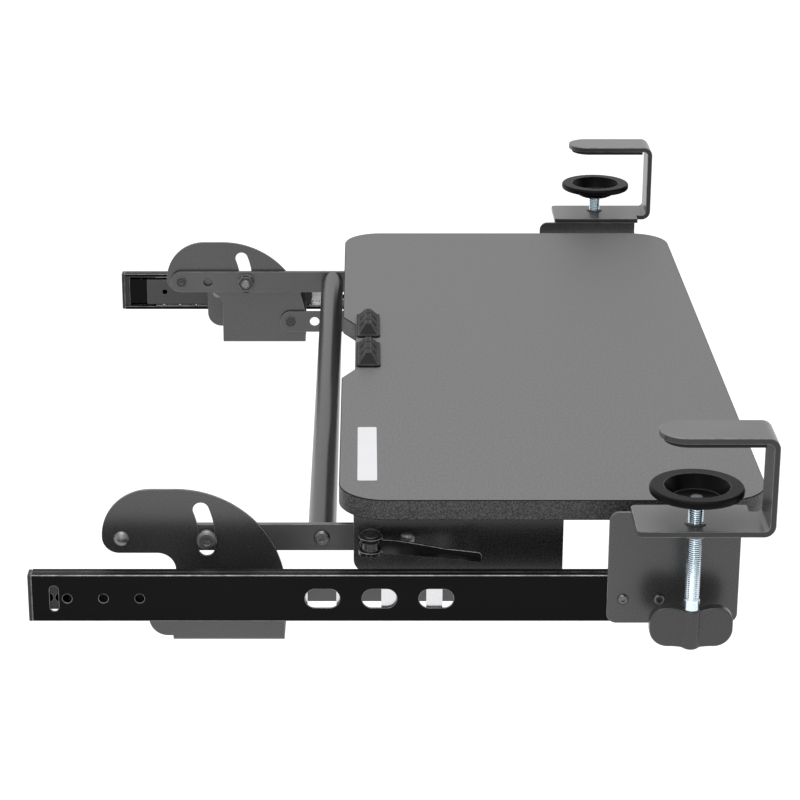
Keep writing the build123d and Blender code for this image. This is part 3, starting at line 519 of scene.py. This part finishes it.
def rows_tree():
    """Copies of the given shape, in rows: balls, rivets and screws."""
    sizes = {
        "First": "Vector",
        "Count": "Int",
        "Step": "Vector",
        "Rows": "Int",
        "Row Step": "Vector",
    }
    tree, given, result = new_tree("rows", sizes)
    shape = given.outputs["Geometry"]
    for count, step in (("Count", "Step"), ("Rows", "Row Step")):
        line = tree.nodes.new("GeometryNodeMeshLine")
        copies = tree.nodes.new("GeometryNodeInstanceOnPoints")
        tree.links.new(given.outputs[count], line.inputs["Count"])
        tree.links.new(given.outputs[step], line.inputs["Offset"])
        if count == "Rows":
            tree.links.new(given.outputs["First"], line.inputs["Start Location"])
        tree.links.new(line.outputs["Mesh"], copies.inputs["Points"])
        tree.links.new(shape, copies.inputs["Instance"])
        shape = copies.outputs["Instances"]
    end_tree(tree, given, result, shape)
    return tree


def thread_tree():
    """A screw thread: a ridge that climbs round the given bar, crest outwards."""
    sizes = {
        "Crest Radius": "Float",
        "Ridge": "Float",
        "Pitch": "Float",
        "Length": "Float",
        "Place": "Vector",
        "Turn": "Rotation",
    }
    tree, given, result = new_tree("thread", sizes)
    turns = worked_out(tree, "DIVIDE", given.outputs["Length"], given.outputs["Pitch"])
    middle = worked_out(
        tree, "SUBTRACT", given.outputs["Crest Radius"], given.outputs["Ridge"]
    )
    spiral = tree.nodes.new("GeometryNodeCurveSpiral")
    spiral.inputs["Resolution"].default_value = SPIRAL_STEPS
    spiral.inputs["Reverse"].default_value = False
    tree.links.new(turns, spiral.inputs["Rotations"])
    tree.links.new(middle, spiral.inputs["Start Radius"])
    tree.links.new(middle, spiral.inputs["End Radius"])
    tree.links.new(given.outputs["Length"], spiral.inputs["Height"])
    upright = tree.nodes.new("GeometryNodeSetCurveNormal")
    upright.mode = "Z_UP"
    tree.links.new(spiral.outputs["Curve"], upright.inputs["Curve"])
    ridge = tree.nodes.new("GeometryNodeCurvePrimitiveCircle")
    ridge.inputs["Resolution"].default_value = RIDGE_SIDES
    tree.links.new(given.outputs["Ridge"], ridge.inputs["Radius"])
    swept = tree.nodes.new("GeometryNodeCurveToMesh")
    swept.inputs["Fill Caps"].default_value = True
    tree.links.new(upright.outputs["Curve"], swept.inputs["Curve"])
    tree.links.new(ridge.outputs["Curve"], swept.inputs["Profile Curve"])
    placed = tree.nodes.new("GeometryNodeTransform")
    tree.links.new(swept.outputs["Mesh"], placed.inputs["Geometry"])
    tree.links.new(given.outputs["Place"], placed.inputs["Translation"])
    tree.links.new(given.outputs["Turn"], placed.inputs["Rotation"])
    flat = tree.nodes.new("GeometryNodeSetShadeSmooth")
    flat.inputs["Shade Smooth"].default_value = False
    tree.links.new(placed.outputs["Geometry"], flat.inputs["Geometry"])
    both = tree.nodes.new("GeometryNodeJoinGeometry")
    tree.links.new(flat.outputs["Geometry"], both.inputs["Geometry"])
    tree.links.new(given.outputs["Geometry"], both.inputs["Geometry"])
    end_tree(tree, given, result, both.outputs["Geometry"])
    return tree


def grown(name, mesh, tree, sizes, finish):
    """The plain mesh that a tree makes of a mesh with these sizes."""
    draft = draft_of(mesh, name)
    step = draft.modifiers.new(tree.name, "NODES")
    step.node_group = tree
    sockets = {
        item.name: item.identifier
        for item in tree.interface.items_tree
        if item.in_out == "INPUT"
    }
    for size, value in sizes.items():
        step[sockets[size]] = value
    step[sockets["Finish"]] = finish
    return as_mesh(draft, name)


def turned(name, outline, steps=48, axis=None, place=None):
    """A solid turned about an axis from (radius, height) points in millimetres.

    A third value of 6 makes that ring six-sided, for a socket; the radius is then its
    corner's. The axis is upright unless another is given, and starts at the place given.
    """
    shape = bmesh.new()
    rings = []
    for radius, height, *sided in outline:
        ring = []
        for i in range(steps if radius else 1):
            angle = 2 * pi * i / steps
            reach = radius * mm
            if sided:
                reach *= cos(pi / 6) / cos(angle % (pi / 3) - pi / 6)
            ring.append(shape.verts.new((reach * cos(angle), reach * sin(angle), height * mm)))
        rings.append(ring)
    for low, high in zip(rings, rings[1:]):
        for i in range(steps):
            j = (i + 1) % steps
            corners = [
                low[i % len(low)], low[j % len(low)], high[j % len(high)], high[i % len(high)]
            ]
            shape.faces.new(list(dict.fromkeys(corners)))
    bmesh.ops.recalc_face_normals(shape, faces=shape.faces)
    if axis:
        turn = Vector((0, 0, 1)).rotation_difference(Vector(axis))
        shape.transform(turn.to_matrix().to_4x4())
    mesh = even_flats(mesh_of(shape, name), name, sharp=30)
    if place:
        mesh.transform(Matrix.Translation(place))
    return mesh


def slab(name, middle, size, edge, finish):
    """A small block with broken edges; its middle in metres, its size in millimetres."""
    shape = bmesh.new()
    bmesh.ops.create_cube(shape, size=1.0)
    bmesh.ops.scale(shape, verts=shape.verts, vec=Vector(size) * mm)
    bmesh.ops.translate(shape, verts=shape.verts, vec=Vector(middle))
    bmesh.ops.bevel(
        shape, geom=shape.edges[:], offset=edge * mm, segments=2, profile=0.5, affect="EDGES"
    )
    mesh = mesh_of(shape, name)
    mesh.materials.append(finish)
    return in_scene(name, even_flats(mesh, name))


def corners_of(node):
    """The low and the high corner of a CAD node's box."""
    return [Vector(corner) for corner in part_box(node)]


def end_of(node, way):
    """Middle of a node's left end, with a way of -1, or its right end, with a way of 1."""
    low, high = corners_of(node)
    middle = (low + high) / 2
    return Vector((low.x if way < 0 else high.x, middle.y, middle.z))


def foot_of(node):
    """Middle of a node's underside."""
    low, high = corners_of(node)
    middle = (low + high) / 2
    return Vector((middle.x, middle.y, low.z))


ROWS = rows_tree()
THREAD = thread_tree()

# Bearing balls: two rows in each cage
BALL_RADIUS = 1.85
BALL_COUNT = 18
BALL_BANDS = 10
bands = [pi * i / BALL_BANDS for i in range(1, BALL_BANDS)]
ball_outline = [
    (0, -BALL_RADIUS),
    *[(BALL_RADIUS * sin(band), -BALL_RADIUS * cos(band)) for band in bands],
    (0, BALL_RADIUS),
]
for side in SIDES:
    node = f"{side}_bearing_balls"
    low, high = corners_of(node)
    reach = Vector((BALL_RADIUS * mm,) * 3)
    first, last = low + reach, high - reach
    sizes = {
        "First": tuple(first),
        "Count": BALL_COUNT,
        "Step": (0, (last.y - first.y) / (BALL_COUNT - 1), 0),
        "Rows": 2,
        "Row Step": (0, 0, last.z - first.z),
    }
    ball = turned("ball", ball_outline, steps=16)
    stand_in(node + "_set", grown(node + "_set", ball, ROWS, sizes, BALL_STEEL), node)


def row_of(node, outline, start, count, steps, axis=None):
    """A row of like fasteners from front to back, the first and last at the node's ends.

    Their outline starts from the start's x and z.
    """
    low, high = corners_of(node)
    kind = kind_of(node)
    head_radius = max(point[0] for point in outline)
    sizes = {
        "First": (start.x, low.y + head_radius * mm, start.z),
        "Count": count,
        "Step": (0, (high.y - low.y - 2 * head_radius * mm) / (count - 1), 0),
        "Rows": 1,
        "Row Step": (0, 0, 0),
    }
    shape = turned(kind, outline, steps, axis)
    name = node + "_set"
    stand_in(name, grown(name, shape, ROWS, sizes, FINISHES[kind]), node)


def threaded(node, bar, thread, place, turn):
    """Stands a turned bar with its thread in a screw's place."""
    sizes = {size: value * mm for size, value in thread.items()}
    sizes["Place"] = tuple(place)
    sizes["Turn"] = turn
    name = node + "_threaded"
    stand_in(name, grown(name, bar, THREAD, sizes, FINISHES[kind_of(node)]), node)


def turned_piece(name, mesh, finish, node):
    """Stands a turned mesh in a node's place."""
    mesh.materials.append(finish)
    stand_in(name, mesh, node)


# Outlines of the fasteners, (radius, height) in millimetres; 6 marks a six-sided ring

# Slide rivet: a rolled head with a shallow dimple towards the tray
RIVET_OUTLINE = [
    (0, 0.35), (1.6, 0.25), (2.0, 0), (4.3, 0.05), (4.85, 0.35), (5.0, 0.8), (4.85, 1.4),
    (3.0, 1.4), (3.0, 4.1), (4.0, 4.6), (3.7, 5.0), (0, 5.1),
]
# Rail screw: a low button head with a socket, outside the hanger plate
RAIL_SCREW_OUTLINE = [
    (0, 0), (2.0, 0), (2.0, 3.8), (3.75, 3.8), (3.9, 4.0), (3.8, 4.6), (3.2, 5.4),
    (2.6, 5.8), (1.6, 5.8, 6), (1.6, 4.6, 6), (0, 4.5),
]
# Height bolt: threaded inner end, bush, and a round head with a socket
HEIGHT_BOLT_OUTLINE = [
    (0, 0.1), (3.0, 0.1), (3.4, 0.5), (3.4, 8.6), (4.0, 8.6), (4.0, 12.6), (5.0, 12.6),
    (5.0, 15.3), (7.15, 15.3), (7.4, 15.55), (7.4, 17.6), (7.15, 18.4), (6.5, 19.1),
    (5.6, 19.3), (5.3, 19.7), (3.5, 19.7), (3.2, 19.3), (2.7, 19.3, 6), (2.7, 17.3, 6),
    (0, 17.0),
]
# Tube screw: button head outside the arm, its shank in the tube's plug
TUBE_SCREW_LENGTH = 25.0
TUBE_SCREW_OUTLINE = [
    (0, 0), (3.0, 0), (3.0, 22), (5.5, 22), (5.7, 22.25), (5.7, 22.8), (5.35, 23.8),
    (4.5, 24.6), (3.9, TUBE_SCREW_LENGTH), (2.6, TUBE_SCREW_LENGTH), (2.3, 24.7),
    (1.8, 24.7, 6), (1.8, 23.4, 6), (0, 23.2),
]
# Clamp screw: a plain collar at the knob, the bar under its thread, and a neck
CLAMP_SCREW_OUTLINE = [
    (0, 0), (4.9, 0), (5.2, 0.3), (5.2, 12.0), (5.4, 12.0), (5.6, 12.2), (5.6, 19.2),
    (5.2, 19.7), (4.55, 19.7), (4.55, 88.1), (4.3, 88.4), (3.0, 88.4), (3.0, 90.5), (0, 90.5),
]
# The neck's end, riveted over inside the dish
NECK_HEAD_OUTLINE = [
    (0, 90.6), (3.0, 90.6), (3.0, 92.5), (4.6, 92.5), (4.6, 93.3), (4.1, 93.9), (3.0, 94.35),
    (0, 94.5),
]
# Wood screw under a tray bracket: a washer head with a round recess
WOOD_SCREW_OUTLINE = [
    (0, 0.9), (0.9, 0.8), (1.3, 0), (2.6, 0.05), (3.7, 0.5), (4.2, 1.2), (4.2, 1.8),
    (2.0, 1.8), (2.0, 12.5), (0, 14.6),
]

# Threads, in millimetres, and how far along its bar each starts
BOLT_THREAD = {"Crest Radius": 4.0, "Ridge": 0.5, "Pitch": 1.25, "Length": 7.4}
BOLT_THREAD_START = 0.6
SCREW_THREAD = {"Crest Radius": 5.2, "Ridge": 0.75, "Pitch": 1.5, "Length": 67.4}
SCREW_THREAD_START = 20.3

# Bumper's web: its size, and its middle from the bumper's middle and rear end
WEB_SIZE = (1.0, 24.0, 24.0)
WEB_EDGE = 0.3
WEB_INSET = 3.6
WEB_FROM_REAR = 14.8

RACE_LINE_SIZE = (0.7, 446.0, 0.2)
RACE_LINE_EDGE = 0.08

for side, way in SIDES.items():
    outwards = (way, 0, 0)
    node = f"{side}_slide_rivets"
    row_of(node, RIVET_OUTLINE, end_of(node, -way), count=3, steps=36, axis=outwards)
    node = f"{side}_rail_screws"
    row_of(node, RAIL_SCREW_OUTLINE, end_of(node, -way), count=2, steps=36, axis=outwards)

    node = f"{side}_height_bolt"
    end = end_of(node, -way)
    bolt = turned("height_bolt", HEIGHT_BOLT_OUTLINE, axis=outwards, place=end)
    start = (end.x + way * BOLT_THREAD_START * mm, end.y, end.z)
    threaded(node, bolt, BOLT_THREAD, start, (0, way * pi / 2, 0))

    name = f"{side}_tube_screw"
    end = end_of("tube_screws", way)
    foot = (end.x - way * TUBE_SCREW_LENGTH * mm, end.y, end.z)
    screw = turned(name, TUBE_SCREW_OUTLINE, axis=outwards, place=foot)
    turned_piece(name, screw, BLACK_STEEL, "tube_screws")

    node = f"{side}_clamp_screw"
    foot = foot_of(node)
    bar = turned("screw_bar", CLAMP_SCREW_OUTLINE, place=foot)
    start = foot + Vector((0, 0, SCREW_THREAD_START * mm))
    threaded(node, bar, SCREW_THREAD, start, (0, 0, 0))
    name = f"{side}_screw_neck_head"
    neck = turned(name, NECK_HEAD_OUTLINE, steps=32, place=foot)
    turned_piece(name, neck, BLACK_STEEL, node)

    # Black web of the bumper, behind the latch slot and the first hole
    node = f"{side}_rail_bumper"
    low, high = corners_of(node)
    middle = (low + high) / 2
    spot = (middle.x - way * WEB_INSET * mm, high.y - WEB_FROM_REAR * mm, middle.z)
    trim_on(slab(f"{side}_bumper_web", spot, WEB_SIZE, WEB_EDGE, DISH_PLASTIC), node)

    # A thin raised bead along the top and bottom of the rail, over the ball races, in a
    # lighter finish as a painted highlight line
    node = f"{side}_outer_rail"
    low, high = corners_of(node)
    middle = (low + high) / 2
    for level, end in ((high.z, "top"), (low.z, "bottom")):
        spot = (middle.x, middle.y, level)
        name = f"{side}_race_line_{end}"
        trim_on(slab(name, spot, RACE_LINE_SIZE, RACE_LINE_EDGE, RACE_HIGHLIGHT), node)

# Cross tube, turned fine enough for a smooth highlight
TUBE_RADIUS = 10.0
TUBE_BORE = 8.4
TUBE_CHAMFER = 0.3
low, high = corners_of("cross_tube")
middle = (low + high) / 2
half = (high.x - low.x) / 2 / mm
outline = [
    (TUBE_BORE, -half),
    (TUBE_RADIUS - TUBE_CHAMFER, -half),
    (TUBE_RADIUS, -half + TUBE_CHAMFER),
    (TUBE_RADIUS, half - TUBE_CHAMFER),
    (TUBE_RADIUS - TUBE_CHAMFER, half),
    (TUBE_BORE, half),
    (TUBE_BORE, -half),
]
place = (0, middle.y, middle.z)
tube = turned("cross_tube", outline, steps=72, axis=(1, 0, 0), place=place)
turned_piece("cross_tube_turned", tube, TUBE_PAINT, "cross_tube")

for side in SIDES:
    node = f"{side}_bracket_screws"
    row_of(node, WOOD_SCREW_OUTLINE, foot_of(node), count=4, steps=28)

# Blank label on the board's rear left corner
LABEL_LEFT, LABEL_RIGHT = -298.2, -190.4
LABEL_FRONT, LABEL_REAR = 16.0, 30.0
LABEL_ROUND = 1.5
LABEL_WALL = 0.2
ROUND_STEPS = 6
board_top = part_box("tray_board")[1][2]
round_middles = [
    (LABEL_RIGHT - LABEL_ROUND, LABEL_REAR - LABEL_ROUND),
    (LABEL_LEFT + LABEL_ROUND, LABEL_REAR - LABEL_ROUND),
    (LABEL_LEFT + LABEL_ROUND, LABEL_FRONT + LABEL_ROUND),
    (LABEL_RIGHT - LABEL_ROUND, LABEL_FRONT + LABEL_ROUND),
]
shape = bmesh.new()
rim = []
for corner, (x, y) in enumerate(round_middles):
    for step in range(ROUND_STEPS + 1):
        angle = radians(90 * corner + 90 / ROUND_STEPS * step)
        across = (x + LABEL_ROUND * cos(angle)) * mm
        along = (y + LABEL_ROUND * sin(angle)) * mm
        rim.append(shape.verts.new((across, along, board_top + LABEL_WALL * mm)))
top = shape.faces.new(rim)
lower_part = bmesh.ops.extrude_face_region(shape, geom=[top])["geom"]
for part in lower_part:
    if isinstance(part, bmesh.types.BMVert):
        part.co.z = board_top
bmesh.ops.recalc_face_normals(shape, faces=shape.faces)
label_mesh = mesh_of(shape, "blank_label")
label_mesh.materials.append(LABEL_FILM)
label = in_scene("blank_label", label_mesh)
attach(label, body_of_node["tray_board"])


# Floor, light and camera

FLOOR_DROP = 0.45
FLOOR_REACH = 40.0
FLOOR_GREY = (0.82, 0.82, 0.82)
FLOOR_LIFT = 0.55
SOFT_LIGHT = 0.45
FULL_WHITE = 1.0


def seen_directly(tree):
    """1 for rays from the camera and from mirrors and glass, 0 for the light that falls."""
    path = tree.nodes.new("ShaderNodeLightPath")
    camera_or_gloss = worked_out(
        tree, "MAXIMUM", path.outputs["Is Camera Ray"], path.outputs["Is Glossy Ray"]
    )
    return worked_out(
        tree, "MAXIMUM", camera_or_gloss, path.outputs["Is Transmission Ray"]
    )


# A pale floor, lifted to white where it is seen, without more light from it on the piece
paint, tree, surface = shader("pale_floor", FLOOR_GREY, roughness=0.9, specular=0.0)
surface.inputs["Emission Color"].default_value = (1, 1, 1, 1)
lift = tree.nodes.new("ShaderNodeMath")
lift.operation = "MULTIPLY"
lift.inputs[1].default_value = FLOOR_LIFT
tree.links.new(seen_directly(tree), lift.inputs[0])
tree.links.new(lift.outputs[0], surface.inputs["Emission Strength"])
far = FLOOR_REACH
floor_mesh = bpy.data.meshes.new("floor")
floor_mesh.from_pydata(
    [(x, y, -FLOOR_DROP) for x, y in ((-far, -far), (far, -far), (far, far), (-far, far))],
    [],
    [(0, 1, 2, 3)],
)
floor_mesh.materials.append(paint)
floor = in_scene("floor", floor_mesh)


def white_sky(tree, strength):
    """An even white background."""
    sky = tree.nodes.new("ShaderNodeBackground")
    sky.inputs["Color"].default_value = (1, 1, 1, 1)
    sky.inputs["Strength"].default_value = strength
    return sky.outputs["Background"]


# The world lights the piece softly and is seen as full white
world = bpy.data.worlds.new("studio")
world.use_nodes = True
bpy.context.scene.world = world
tree = world.node_tree
tree.nodes.clear()
pick = tree.nodes.new("ShaderNodeMixShader")
output = tree.nodes.new("ShaderNodeOutputWorld")
tree.links.new(seen_directly(tree), pick.inputs["Fac"])
tree.links.new(white_sky(tree, SOFT_LIGHT), pick.inputs[1])
tree.links.new(white_sky(tree, FULL_WHITE), pick.inputs[2])
tree.links.new(pick.outputs["Shader"], output.inputs["Surface"])


def lamp(name, kind, place, aim, energy, size):
    """A lamp at a place, aimed at a point; size is a softbox's sides or a sun's spread."""
    light = bpy.data.lights.new(name, kind)
    light.energy = energy
    if kind == "AREA":
        light.shape = "RECTANGLE"
        light.size, light.size_y = size
    if kind == "SUN":
        light.angle = radians(size)
    holder = in_scene(name, light)
    holder.location = place
    holder.rotation_euler = (Vector(aim) - Vector(place)).to_track_quat("-Z", "Y").to_euler()


lamp("sky_light", "SUN", place=(0.5, 0.3, 3.0), aim=(0, 0, 0), energy=0.9, size=60)
lamp(
    "overhead_softbox", "AREA",
    place=(-0.8, 0.1, 1.5), aim=(-0.1, 0, 0), energy=7.5, size=(1.1, 1.1),
)
lamp(
    "strip_light", "AREA",
    place=(-2.3, 0.25, 0.75), aim=(-0.3, -0.1, 0.05), energy=3.5, size=(0.12, 1.3),
)

CAMERA_PLACE = (-1939.1 * mm, 24.8 * mm, 750.5 * mm)
CAMERA_PITCH = 19.779
CAMERA_LENS = 112.62
CAMERA_SENSOR = 36.0
CAMERA_SHIFT = 0.0441
camera_data = bpy.data.cameras.new("view")
camera_data.lens = CAMERA_LENS
camera_data.sensor_width = CAMERA_SENSOR
camera_data.shift_x = CAMERA_SHIFT
camera = in_scene("view", camera_data)
camera.location = CAMERA_PLACE
look = Vector((cos(radians(CAMERA_PITCH)), 0, -sin(radians(CAMERA_PITCH))))
camera.rotation_euler = look.to_track_quat("-Z", "Y").to_euler()
bpy.context.scene.camera = camera
bpy.context.scene.view_settings.view_transform = "Standard"
